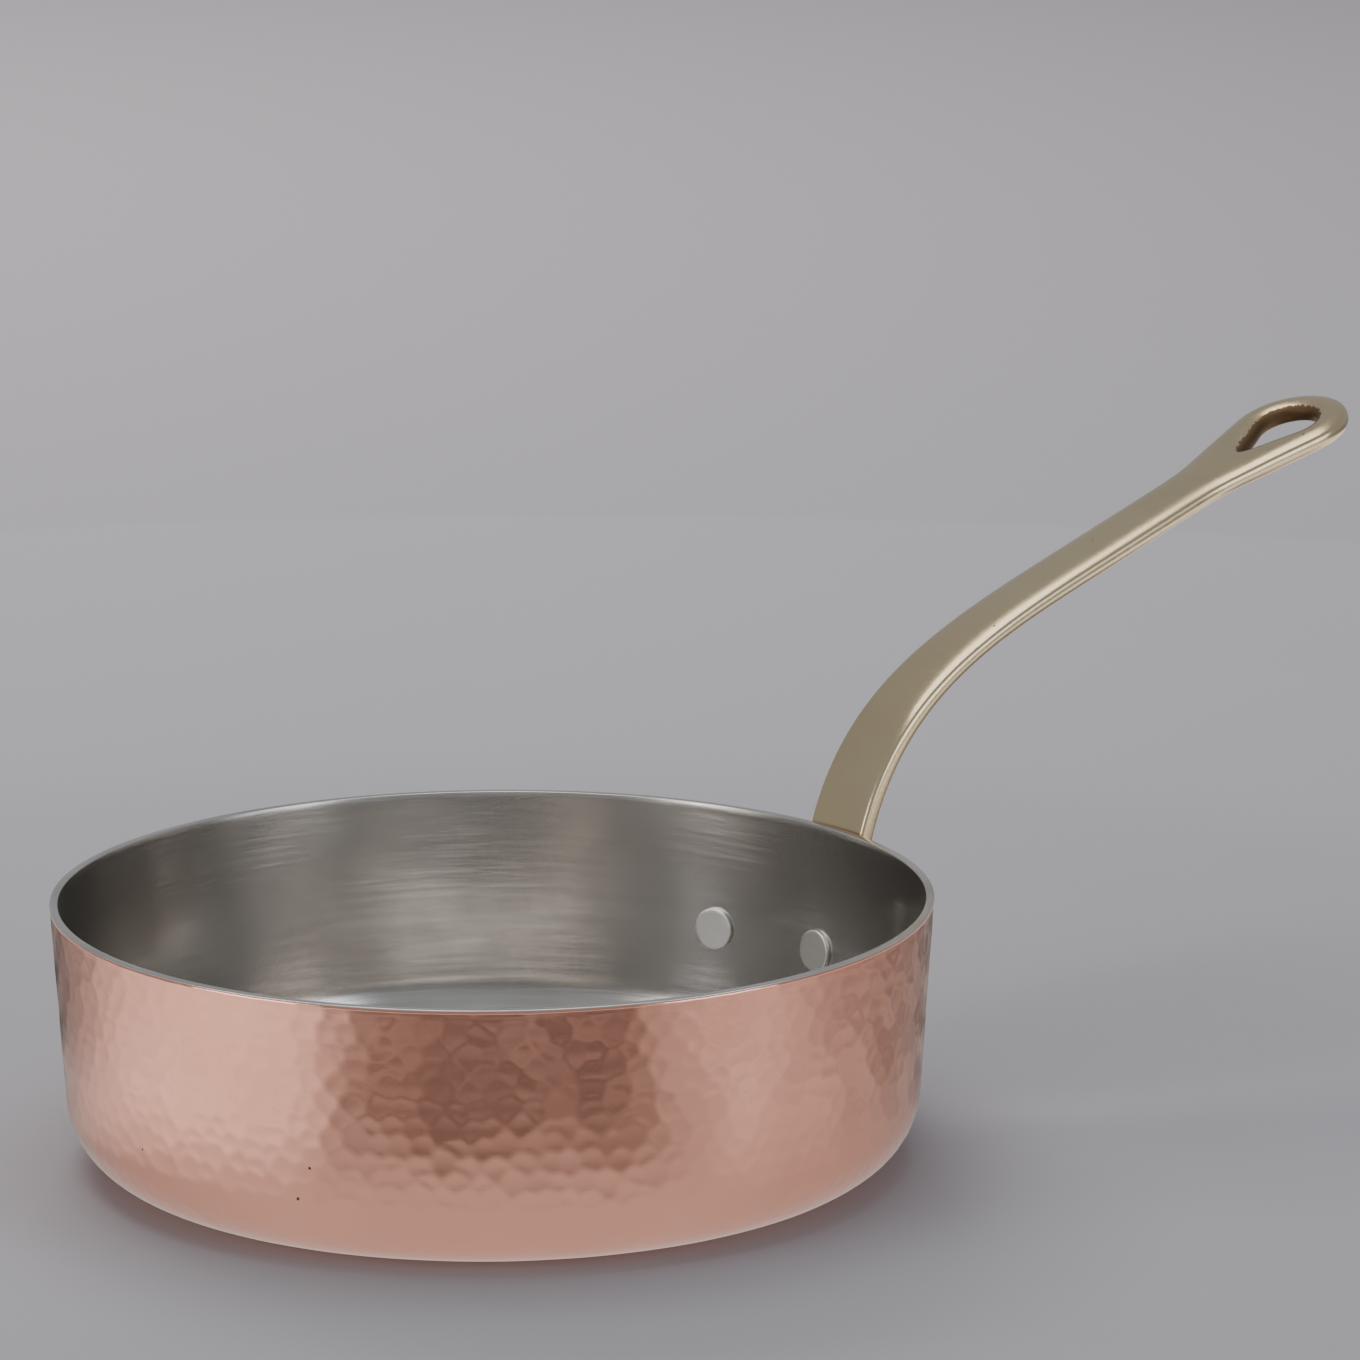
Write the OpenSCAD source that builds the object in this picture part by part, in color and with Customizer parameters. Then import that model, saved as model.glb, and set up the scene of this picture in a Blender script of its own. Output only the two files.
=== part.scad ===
/* [Pan] */
// Outside diameter of the pan at its rim
rim_diameter = 240; // [180:1:320]
// Height of the pan from the underside of its base to its rim
pan_height = 73; // [62:0.5:140]
// Thickness of the copper sheet
copper_gauge = 2; // [1.2:0.1:3]
// Lean of the wall outwards from upright, in degrees
wall_lean = 3.6; // [1:0.1:8]
// Outside radius of the corner between base and wall
corner_radius = 20; // [8:0.5:24]
// Thickness of the wiped tin, inside and on the cut edge of the rim
tin_thickness = 0.3; // [0.2:0.05:0.5]

/* [Rivets] */
// Diameter of a rivet's shank
rivet_shank_d = 6; // [4:0.1:8]
// Gap between a rivet's shank and its hole, all round
rivet_clearance = 0.05; // [0.02:0.01:0.2]
// Diameter of the flat head inside the pan
rivet_head_d = 12; // [9:0.1:16]
// Height of the flat head inside the pan
rivet_head_h = 1.2; // [0.6:0.1:3]
// Diameter of the domed head outside the foot plate
rivet_dome_d = 11; // [9:0.1:15]
// Height of the domed head outside the foot plate
rivet_dome_h = 2.4; // [1:0.1:4]
// Depth of the row of rivets below the rim
rivet_drop = 36; // [28:0.5:40]
// Distance between neighbouring rivets, round the wall
rivet_spacing = 39; // [30:0.5:46]

/* [Foot plate] */
// Thickness of the foot plate
foot_thickness = 4; // [3:0.1:7]
// Radius of the round lobe of plate at each side rivet
foot_lobe_r = 12; // [10:0.5:15]
// Distance from the rim down to the top of the foot plate
foot_top_drop = 6; // [3:0.5:10]
// Radius of the fillet between the side lobes and the middle of the plate
foot_fillet_r = 9; // [4:0.5:12]

/* [Handle] */
// Horizontal distance from the rim to the tip of the handle
handle_reach = 196; // [150:1:260]
// Height of the tip of the handle above the rim
handle_rise = 99; // [60:1:140]
// Slope of the straight part of the shank, in degrees
shank_angle = 19.3; // [8:0.1:28]
// Length of the straight part of the shank, up to the tip
shank_straight = 107; // [75:1:140]
// Distance from the rim down to where the shank leaves the foot plate
shank_root_drop = 25; // [16:0.5:27]
// How strongly the shank first follows the wall before it bends away
bend_start = 58; // [30:1:80]
// How strongly the bend runs on into the straight part
bend_end = 52; // [30:1:80]
// Width of the shank where it leaves the foot plate
shank_root_w = 23; // [16:0.5:28]
// Width of the shank at its neck, before the hanging eye
shank_neck_w = 20; // [14:0.5:24]
// Thickness of the shank at the foot plate
shank_root_t = 4.6; // [3:0.1:7]
// Thickness of the shank at its neck
shank_neck_t = 6.4; // [4:0.1:9]
// Gap between the wall and the back of the shank at its root
shank_gap = 0.2; // [0.1:0.1:2]

/* [Hanging eye] */
// Radius of the round end of the handle
eye_outer_r = 18; // [14:0.5:22]
// Distance from the centre of the round end back to where its sides would meet
eye_outer_point = 85; // [60:1:110]
// Radius of the round end of the hole
eye_hole_r = 8.5; // [5:0.5:10]
// Distance from the centre of the hole's round end back to its point
eye_hole_point = 20.5; // [14:0.5:26]
// Thickness of the metal round the hole
eye_t = 6.6; // [4:0.1:9]

/* [Hidden] */
$fn = 96;

COPPER = [0.78, 0.52, 0.44];
TIN = [0.62, 0.62, 0.60];
BRASS = [0.62, 0.54, 0.40];

rim_r = rim_diameter / 2;
cut_past = 2;                 // how far a cut runs past the face that it opens
dome_edge = 0.6;              // height of the straight edge under a rivet's dome

// The wall is straight from the rim down to the corner's arc, which it meets smoothly.
function wall_r(z, inset = 0) = rim_r - (pan_height - z) * tan(wall_lean) - inset / cos(wall_lean);
corner_x = wall_r(corner_radius * (1 - sin(wall_lean))) - corner_radius * cos(wall_lean);

rivet_z = pan_height - rivet_drop;
rivet_step = rivet_spacing / wall_r(rivet_z) * 180 / PI;
RIVETS = [-rivet_step, 0, rivet_step];      // right, centre and left of the handle

// Half section of the solid pan, drawn in from the outside face by inset and filled up to z = top.
module pan_half(inset, top) {
    r = corner_radius - inset;
    polygon([
        [0, inset],
        [corner_x, inset],
        [corner_x, corner_radius - r * sin(wall_lean)],
        [corner_x + r * cos(wall_lean), corner_radius - r * sin(wall_lean)],
        [wall_r(top, inset), top],
        [0, top]
    ]);
    translate([corner_x, corner_radius]) intersection() {
        circle(r);
        translate([0, -r]) square([r, r * (1 - sin(wall_lean))]);
    }
}

module pan_solid(inset, top) {
    rotate_extrude() pan_half(inset, top);
}

// Puts a rivet's axis square to the wall at its height, pointing out of the pan.
module at_rivet(angle) {
    rotate([0, 0, angle])
        translate([wall_r(rivet_z), 0, rivet_z])
            rotate([0, 90 + wall_lean, 0])
                children();
}

module rivet_holes() {
    reach = copper_gauge + tin_thickness + foot_thickness + cut_past;
    for (angle = RIVETS)
        at_rivet(angle) cylinder(h = 2 * reach, r = rivet_shank_d / 2 + rivet_clearance, center = true);
}

module pan_body() {
    color(COPPER) difference() {
        pan_solid(0, pan_height - tin_thickness);
        pan_solid(copper_gauge, pan_height + cut_past);
        rivet_holes();
    }
}

// The lining fills what lies between the copper and the cooking face, and caps the rim.
module tin_lining() {
    copper_top = pan_height - tin_thickness;
    color(TIN) difference() {
        union() {
            pan_solid(copper_gauge, pan_height);
            rotate_extrude() polygon([
                [wall_r(copper_top) - copper_gauge - cut_past, copper_top],
                [wall_r(copper_top), copper_top],
                [wall_r(pan_height), pan_height],
                [wall_r(pan_height) - copper_gauge - cut_past, pan_height]
            ]);
        }
        pan_solid(copper_gauge + tin_thickness, pan_height + cut_past);
        rivet_holes();
    }
}

// A flat head that beds on the curved lining, a shank through the three layers, and a peened dome.
module rivet(angle) {
    lining = copper_gauge + tin_thickness;
    cap_h = rivet_dome_h - dome_edge;
    dome_sphere_r = (pow(rivet_dome_d / 2, 2) + pow(cap_h, 2)) / (2 * cap_h);
    color(TIN) union() {
        intersection() {
            at_rivet(angle) translate([0, 0, -lining - rivet_head_h])
                cylinder(h = rivet_head_h + lining, d = rivet_head_d);
            pan_solid(lining, pan_height + cut_past);
        }
        at_rivet(angle) translate([0, 0, -lining - rivet_head_h / 2])
            cylinder(h = lining + rivet_head_h / 2 + foot_thickness + dome_edge, d = rivet_shank_d);
        difference() {
            at_rivet(angle) intersection() {
                cylinder(h = foot_thickness + rivet_dome_h, d = rivet_dome_d);
                translate([0, 0, foot_thickness + rivet_dome_h - dome_sphere_r]) sphere(dome_sphere_r);
            }
            foot_band(-copper_gauge);
        }
    }
}

// A ring that follows the wall's slope, from inner mm outside the wall out to the foot plate's face.
module foot_band(inner) {
    low = rivet_z - foot_lobe_r - cut_past;
    high = pan_height - foot_top_drop;
    rotate_extrude() polygon([
        [wall_r(low, -inner), low],
        [wall_r(low, -foot_thickness), low],
        [wall_r(high, -foot_thickness), high],
        [wall_r(high, -inner), high]
    ]);
}

// Outline of the foot plate seen from outside: y across, z up.
module foot_outline() {
    lobe_y = wall_r(rivet_z) * sin(rivet_step);
    lobe_top = rivet_z + foot_lobe_r;
    translate([-lobe_y, rivet_z - foot_lobe_r]) square([2 * lobe_y, 2 * foot_lobe_r]);
    translate([-shank_root_w / 2, rivet_z]) square([shank_root_w, pan_height - rivet_z]);
    for (side = [-1, 1]) {
        translate([side * lobe_y, rivet_z]) circle(foot_lobe_r);
        difference() {
            translate([side > 0 ? 0 : -shank_root_w / 2 - foot_fillet_r, rivet_z])
                square([shank_root_w / 2 + foot_fillet_r, foot_lobe_r + foot_fillet_r]);
            translate([side * (shank_root_w / 2 + foot_fillet_r), lobe_top + foot_fillet_r])
                circle(foot_fillet_r);
        }
    }
}

module foot_plate() {
    intersection() {
        foot_band(0);
        translate([wall_r(0) * cos(rivet_step) / 2, 0, 0])
            rotate([90, 0, 90]) linear_extrude(height = rim_r) foot_outline();
    }
}

// Path of the shank in the plane y = 0, as [x, z]: a curve away from the wall, then straight.
root_z = pan_height - shank_root_drop;
along = [cos(shank_angle), sin(shank_angle)];
path_tip = [rim_r + handle_reach, pan_height + handle_rise];
path_0 = [wall_r(root_z, -shank_gap - shank_root_t / 2), root_z];
path_1 = path_0 + bend_start * [sin(wall_lean), cos(wall_lean)];
path_3 = path_tip - shank_straight * along;
path_2 = path_3 - bend_end * along;
eye_centre = path_tip - eye_outer_r * along;

function bend(t) = pow(1 - t, 3) * path_0 + 3 * pow(1 - t, 2) * t * path_1
    + 3 * (1 - t) * t * t * path_2 + pow(t, 3) * path_3;
function bend_slope(t) = 3 * pow(1 - t, 2) * (path_1 - path_0) + 6 * (1 - t) * t * (path_2 - path_1)
    + 3 * t * t * (path_3 - path_2);
function ease(t) = t * t * (3 - 2 * t);
function mix(a, b, t) = a + (b - a) * t;

// Distance from the centre of a drop's round end to its edge, at an angle from the tip's direction.
function drop(r, point, angle) =
    let (side = 180 - acos(r / point)) abs(angle) <= side ? r : r / cos(abs(angle) - side);
// Half width of the handle at a distance behind the centre of the eye.
function eye_side(back) = (eye_outer_point - back) * tan(asin(eye_outer_r / eye_outer_point));

// A rounded flat section: a superellipse, from nearly a rectangle to nearly an oval.
section_n = 24;
root_power = 6;
neck_power = 3;
eye_power = 2.6;
function spread(v, power) = sign(v) * pow(abs(v), 2 / power);
function section(half_w, half_t, power) = [for (i = [0 : section_n - 1])
    let (a = 360 * i / section_n) [half_w * spread(cos(a), power), half_t * spread(sin(a), power)]];
// Places a section across the path: centre [x, z] and the path's direction there.
function across(points, centre, direction) =
    let (d = direction / norm(direction))
    [for (p = points) [centre[0] - d[1] * p[1], p[0], centre[1] + d[0] * p[1]]];

bend_steps = 26;
straight_steps = 12;
crotch_back = eye_hole_point + 1;           // where the shank stops, inside the metal behind the hole
bend_rings = [for (i = [0 : bend_steps])
    let (t = i / bend_steps)
    across(section(mix(shank_root_w, shank_neck_w, ease(t)) / 2,
                   mix(shank_root_t, shank_neck_t, ease(t)) / 2,
                   mix(root_power, neck_power, t)),
           bend(t), bend_slope(t))];
straight_rings = [for (i = [1 : straight_steps])
    let (run = (shank_straight - eye_outer_r - crotch_back) * i / straight_steps,
         back = shank_straight - eye_outer_r - run)
    across(section(max(shank_neck_w / 2, eye_side(back)), shank_neck_t / 2, neck_power),
           path_3 + run * along, along)];

// Skins a list of rings of equal length; closed joins the last ring to the first.
module skin(rings, closed) {
    n = len(rings[0]);
    count = len(rings);
    last = closed ? count - 1 : count - 2;
    sides = [for (i = [0 : last]) for (j = [0 : n - 1])
        let (a = i * n, b = ((i + 1) % count) * n, k = (j + 1) % n)
        each [[a + j, b + j, b + k], [a + j, b + k, a + k]]];
    caps = closed ? [] : [[for (j = [0 : n - 1]) j], [for (j = [n - 1 : -1 : 0]) (count - 1) * n + j]];
    polyhedron(points = [for (ring = rings) each ring], faces = concat(sides, caps));
}

// The metal round the hole: a rounded section from the hole's edge to the outside edge.
eye_steps = 60;
eye_section_n = 16;
eye_behind = eye_hole_point + 16;           // how far the loop runs back inside the shank
eye_rings = [for (i = [0 : eye_steps - 1])
    let (angle = 180 - 360 * i / eye_steps,
         inner = drop(eye_hole_r, eye_hole_point, angle),
         outer = min(eye_behind, drop(eye_outer_r, eye_outer_point, angle)),
         middle = (inner + outer) / 2,
         half = (outer - inner) / 2)
    [for (j = [0 : eye_section_n - 1])
        let (a = 360 * j / eye_section_n,
             radius = middle + half * spread(cos(a), eye_power),
             lift = eye_t / 2 * spread(sin(a), eye_power),
             flat = eye_centre + radius * cos(angle) * along)
        [flat[0] - along[1] * lift, radius * sin(angle), flat[1] + along[0] * lift]]];

module handle() {
    color(BRASS) difference() {
        union() {
            foot_plate();
            skin(concat(bend_rings, straight_rings), false);
            skin(eye_rings, true);
        }
        rivet_holes();
    }
}

pan_body();
tin_lining();
handle();
rivet(RIVETS[2]);  // rivet_left
rivet(RIVETS[1]);  // rivet_centre
rivet(RIVETS[0]);  // rivet_right
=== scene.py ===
"""Looks of a low copper saucepan: hammered body, wiped tin inside, cast brass handle, three rivets.

Everything is in metres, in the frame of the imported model: the origin is the centre of the base's
underside, +Z is up and +X runs along the handle. The pieces are made in the order in which a
coppersmith puts the pan together, and each one stands for the CAD node of the same name.
"""

from __future__ import annotations

import logging
import math
import sys
from dataclasses import asdict, dataclass, field
from enum import Enum
from functools import partial
from typing import Callable

import bpy
from bpy.types import Material, NodeSocket, NodeTree, Object, bpy_prop_collection
from mathutils import Matrix, Vector, noise

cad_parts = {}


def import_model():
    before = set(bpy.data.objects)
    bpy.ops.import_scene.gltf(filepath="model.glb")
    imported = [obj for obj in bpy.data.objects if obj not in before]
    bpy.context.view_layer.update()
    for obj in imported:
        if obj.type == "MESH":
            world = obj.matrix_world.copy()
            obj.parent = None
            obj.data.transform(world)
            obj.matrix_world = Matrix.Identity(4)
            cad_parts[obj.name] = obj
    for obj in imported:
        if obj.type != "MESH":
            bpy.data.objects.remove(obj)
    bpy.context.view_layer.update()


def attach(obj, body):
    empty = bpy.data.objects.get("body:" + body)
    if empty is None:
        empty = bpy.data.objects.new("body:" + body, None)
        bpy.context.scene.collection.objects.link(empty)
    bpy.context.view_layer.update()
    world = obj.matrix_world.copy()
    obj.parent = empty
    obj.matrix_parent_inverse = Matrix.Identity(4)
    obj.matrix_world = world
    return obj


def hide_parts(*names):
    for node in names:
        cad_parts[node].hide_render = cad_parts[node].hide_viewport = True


LOG = logging.getLogger("saucepan")
MM = 0.001
BODY = "root"
SEED = 11
PIECE = "_piece"
FAR = 10.0  # more than any distance that it is compared with
LEVELS = (-1.0, -0.5, 0.0, 0.5, 1.0)
Adder = Callable[..., NodeSocket]
Line = list[tuple[float, float]]
Rows = list[list[int]]


def linear(hex_colour: str) -> tuple[float, float, float, float]:
    """Turns an sRGB hex colour into linear RGBA.

    Args:
        hex_colour: six hex digits after a hash, such as "#c98a70".

    Returns:
        Linear red, green and blue, and an alpha of 1.
    """
    parts = [int(hex_colour[i : i + 2], 16) / 255 for i in (1, 3, 5)]
    red, green, blue = (p / 12.92 if p <= 0.04045 else ((p + 0.055) / 1.055) ** 2.4 for p in parts)
    return red, green, blue, 1.0


def mix(first: float, second: float, share: float) -> float:
    """Goes from first to second as share goes from 0 to 1."""
    return first + (second - first) * share


def ease(share: float) -> float:
    """Holds share between 0 and 1, and slows it down at both ends."""
    held = min(1.0, max(0.0, share))
    return held * held * (3 - 2 * held)


def add_node(
    tree: NodeTree,
    kind: str,
    *values: object,
    out: int | str = 0,
    named: dict[int | str, object] | None = None,
    **settings: object,
) -> NodeSocket | None:
    """Adds one node to a tree, sets it up and links it.

    Args:
        tree: the material or geometry tree.
        kind: the node's type, where a plain word such as "Math" is short for "ShaderNodeMath", and
            its operation, where it has one, as in "Math ADD".
        values: what goes into its inputs in order: a socket to link, a plain value, or None to skip.
        out: which of the node's outputs to return.
        named: inputs given by name or number in place of by order.
        settings: the node's own properties, such as data_type="RGBA".

    Returns:
        The chosen output socket, or None where the node has no outputs.
    """
    word, *operation = kind.split()
    node = tree.nodes.new(word if "Node" in word else "ShaderNode" + word)
    for name, value in [*zip(["operation"], operation), *settings.items()]:
        setattr(node, name, value)
    for key, value in [*enumerate(values), *(named or {}).items()]:
        if isinstance(value, NodeSocket):
            tree.links.new(value, node.inputs[key])
        elif value is not None:
            node.inputs[key].default_value = value
    return node.outputs[out] if len(node.outputs) else None


def mesh_object(name: str, points: list[Vector], faces: Rows) -> Object:
    """Makes a smooth-shaded mesh object at the origin.

    Args:
        name: the object's and the mesh's name.
        points: vertex positions in metres.
        faces: vertex numbers of each face, anticlockwise from outside.

    Returns:
        The object, linked to the scene.
    """
    mesh = bpy.data.meshes.new(name)
    mesh.from_pydata([tuple(p) for p in points], [], faces)
    mesh.polygons.foreach_set("use_smooth", [True] * len(mesh.polygons))
    mesh.update()
    made = bpy.data.objects.new(name, mesh)
    bpy.context.scene.collection.objects.link(made)
    return made


def tag(made: Object, name: str, numbers: list[float]) -> None:
    """Gives each vertex of an object a number of its own, as an attribute of the given name."""
    made.data.attributes.new(name, "FLOAT", "POINT").data.foreach_set("value", numbers)


def freeze(made: Object) -> None:
    """Turns an object's modifiers into plain mesh and removes them.

    Args:
        made: the object, which keeps its materials and attributes.
    """
    depsgraph = bpy.context.evaluated_depsgraph_get()
    plain = bpy.data.meshes.new_from_object(made.evaluated_get(depsgraph))
    made.modifiers.clear()
    made.data = plain
    plain.polygons.foreach_set("use_smooth", [True] * len(plain.polygons))
    plain.update()


def dress(made: Object, material: Material) -> None:
    """Gives an object its only material."""
    made.data.materials.clear()
    made.data.materials.append(material)


def hand_over(made: Object) -> None:
    """Rides a finished piece on the body, in place of the CAD node that it is named for.

    Args:
        made: the finished piece, named for its CAD node.
    """
    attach(made, BODY)
    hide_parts(made.name.removesuffix(PIECE))
    LOG.info("%s: %d faces", made.name, len(made.data.polygons))


def blank_material(name: str) -> tuple[Material, Adder]:
    """Starts a material that has no nodes yet.

    Args:
        name: the material's name.

    Returns:
        The material, and the function that adds nodes to its tree.
    """
    made = bpy.data.materials.new(name)
    made.use_nodes = True
    made.node_tree.nodes.clear()
    return made, partial(add_node, made.node_tree)


def start_tree(
    name: str, sizes: dict[str, float]
) -> tuple[NodeTree, dict[str, str], bpy_prop_collection, Adder]:
    """Starts a Geometry Nodes tree.

    Args:
        name: the tree's name.
        sizes: the name and the usual value of each of its inputs.

    Returns:
        The tree, the identifier of each input, the sockets that bring the inputs into the tree, and
        the function that adds nodes to it.
    """
    tree = bpy.data.node_groups.new(name, "GeometryNodeTree")
    for way in ("INPUT", "OUTPUT"):
        tree.interface.new_socket("Geometry", in_out=way, socket_type="NodeSocketGeometry")
    inputs: dict[str, str] = {}
    for size, value in sizes.items():
        socket = tree.interface.new_socket(size, in_out="INPUT", socket_type="NodeSocketFloat")
        socket.default_value = value
        inputs[size] = socket.identifier
    return tree, inputs, tree.nodes.new("NodeGroupInput").outputs, partial(add_node, tree)


@dataclass(frozen=True)
class HammeredCopper:
    """Copper sheet, planished and then polished: warm, near a mirror, with thin clouds and a few pits."""

    polished: str = "#efb3a0"
    tarnished: str = "#dd9f8b"
    pit: str = "#5f4036"
    roughness: tuple[float, float] = (0.0975, 0.182)
    cloud: float = 38 * MM
    scratch: float = 0.4 * MM
    scratch_depth: float = 0.02 * MM
    pit_spacing: float = 24 * MM
    pit_radius: float = 0.4 * MM

    def material(self) -> Material:
        """Builds the copper of the body.

        Returns:
            The material, whose scratches are drawn coarser than polishing leaves them, so that they show.
        """
        made, add = blank_material("hammered_copper")
        place = add("TexCoord", out="Object")
        cloud = add("TexNoise", place, named={"Scale": 1 / self.cloud, "Detail": 5.0})
        tones = {6: linear(self.polished), 7: linear(self.tarnished)}
        tint = add("Mix", cloud, named=tones, data_type="RGBA", out=2)
        spot = add("TexVoronoi", place, named={"Scale": 1 / self.pit_spacing})
        inner = self.pit_radius / self.pit_spacing
        pit = add("MapRange", spot, inner, inner * 1.5, 1.0, 0.0)
        colour = add("Mix", pit, named={6: tint, 7: linear(self.pit)}, data_type="RGBA", out=2)
        scratch = add("TexNoise", place, named={"Scale": 1 / self.scratch, "Detail": 2.0})
        wear = add("Math MULTIPLY_ADD", cloud, 0.6, scratch)
        rough = add("MapRange", wear, 0.55, 1.05, *self.roughness)
        bump = add("Bump", named={"Strength": 0.1, "Distance": self.scratch_depth, "Height": scratch})
        face = {"Base Color": colour, "Metallic": 1.0, "Roughness": rough, "Normal": bump}
        add("OutputMaterial", add("BsdfPrincipled", named=face))
        return made


@dataclass(frozen=True)
class WipedTin:
    """Tin wiped on molten with a cloth: grey, half glossy, with streaks that run round the pan."""

    name: str = "wiped_tin"
    bright: str = "#dfdcd8"
    dull: str = "#aeaba6"
    roughness: tuple[float, float] = (0.165, 0.264)
    cloud: float = 26 * MM
    streak: float = 2.2 * MM
    streak_length: float = 30 * MM
    streak_depth: float = 0.12 * MM

    def material(self) -> Material:
        """Builds the tin.

        Returns:
            The material, whose streaks follow the wall's height and then the floor's radius.
        """
        made, add = blank_material(self.name)
        place = add("TexCoord", out="Object")
        x, y, z = add("SeparateXYZ", place).node.outputs
        flat = add("CombineXYZ", x, y, 0.0)
        reach = add("VectorMath LENGTH", flat, out="Value")
        along = add("Math ADD", reach, z)
        stretch = add("Math MULTIPLY", along, self.streak_length / self.streak)
        wiped = add("CombineXYZ", x, y, stretch)
        streak = add("TexNoise", wiped, named={"Scale": 1 / self.streak_length, "Detail": 4.0})
        cloud = add("TexNoise", place, named={"Scale": 1 / self.cloud, "Detail": 2.0})
        both = add("Math MULTIPLY_ADD", streak, 0.6, cloud)
        share = add("MapRange", both, 0.35, 1.25, 0.0, 1.0)
        tones = {6: linear(self.bright), 7: linear(self.dull)}
        tint = add("Mix", share, named=tones, data_type="RGBA", out=2)
        rough = add("MapRange", both, 0.35, 1.25, *self.roughness)
        bump = add("Bump", named={"Strength": 0.5, "Distance": self.streak_depth, "Height": streak})
        face = {"Base Color": tint, "Metallic": 1.0, "Roughness": rough, "Normal": bump}
        add("OutputMaterial", add("BsdfPrincipled", named=face))
        return made


@dataclass(frozen=True)
class CastBrass:
    """Sand-cast brass, linished lengthways: satin and olive-gold, brown and grainy where left unpolished,
    and brown at the rim as grime and painted shade.
    """

    polished: str = "#dccba6"
    dull: str = "#c6b490"
    raw: str = "#6a563f"
    roughness: tuple[float, float] = (0.168, 0.2625)
    raw_roughness: float = 0.6
    cloud: float = 30 * MM
    scratch: float = 0.5 * MM
    grain: float = 0.9 * MM
    relief: float = 0.06 * MM
    pit_spacing: float = 9 * MM
    pit_radius: float = 0.3 * MM

    def material(self) -> Material:
        """Builds the brass.

        Returns:
            The material, which is brown and grainy where the handle's attribute says so: unpolished in
            the eye's hole, and grime and painted shade where the handle meets the rim. Its scratches and
            its sand grain are drawn coarser than real ones, so that they show.
        """
        made, add = blank_material("cast_brass")
        place = add("TexCoord", out="Object")
        skin_and_shade = add("Attribute", attribute_name="cast_skin", out="Fac")
        cloud = add("TexNoise", place, named={"Scale": 1 / self.cloud, "Detail": 4.0})
        lengthways = add("VectorMath MULTIPLY", place, (0.06, 1.0, 1.0))
        scratch = add("TexNoise", lengthways, named={"Scale": 1 / self.scratch, "Detail": 3.0})
        grain = add("TexNoise", place, named={"Scale": 1 / self.grain, "Detail": 4.0})
        # The attribute brings unpolished brown to the eye's hole, and grime and painted shade to where
        # the handle meets the rim.
        ragged = add("Math MULTIPLY_ADD", grain, 1.4, skin_and_shade)
        raw = add("MapRange", ragged, 1.22, 1.45, 0.0, 1.0)
        spot = add("TexVoronoi", place, named={"Scale": 1 / self.pit_spacing})
        inner = self.pit_radius / self.pit_spacing
        pit = add("MapRange", spot, inner, inner * 1.8, 1.0, 0.0)
        dark = add("Math MAXIMUM", raw, pit)
        tones = {6: linear(self.polished), 7: linear(self.dull)}
        tint = add("Mix", cloud, named=tones, data_type="RGBA", out=2)
        colour = add("Mix", dark, named={6: tint, 7: linear(self.raw)}, data_type="RGBA", out=2)
        smooth = add("MapRange", scratch, 0.3, 0.7, *self.roughness)
        rough = add("Mix", dark, None, smooth, self.raw_roughness)
        height = add("Mix", dark, None, scratch, grain)
        bump = add("Bump", named={"Strength": 0.15, "Distance": self.relief, "Height": height})
        face = {"Base Color": colour, "Metallic": 1.0, "Roughness": rough, "Normal": bump}
        add("OutputMaterial", add("BsdfPrincipled", named=face))
        return made


def turned(
    name: str, line: Line, columns: int, closed: bool = False
) -> tuple[Object, list[range]]:
    """Turns a half section round the Z axis. A point on the axis becomes one vertex.

    Args:
        name: the object's name.
        line: radius and height of each point, running down an outer face and up an inner one.
        columns: how many columns go round.
        closed: whether the last point joins the first.

    Returns:
        The object, and the vertex numbers of each point's ring.
    """
    points: list[Vector] = []
    rings: list[range] = []
    for radius, z in line:
        count = 1 if radius < 1e-9 else columns
        rings.append(range(len(points), len(points) + count))
        angles = [2 * math.pi * c / columns for c in range(count)]
        points += [Vector((radius * math.cos(a), radius * math.sin(a), z)) for a in angles]
    faces: Rows = []
    for upper, lower in [*zip(rings, rings[1:]), *([(rings[-1], rings[0])] if closed else [])]:
        for c in range(columns if max(len(upper), len(lower)) > 1 else 0):
            d = (c + 1) % columns
            if len(upper) == 1:
                faces.append([upper[0], lower[c], lower[d]])
            elif len(lower) == 1:
                faces.append([upper[c], lower[0], upper[d]])
            else:
                faces.append([upper[c], lower[c], lower[d], upper[d]])
    return mesh_object(name, points, faces), rings


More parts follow.
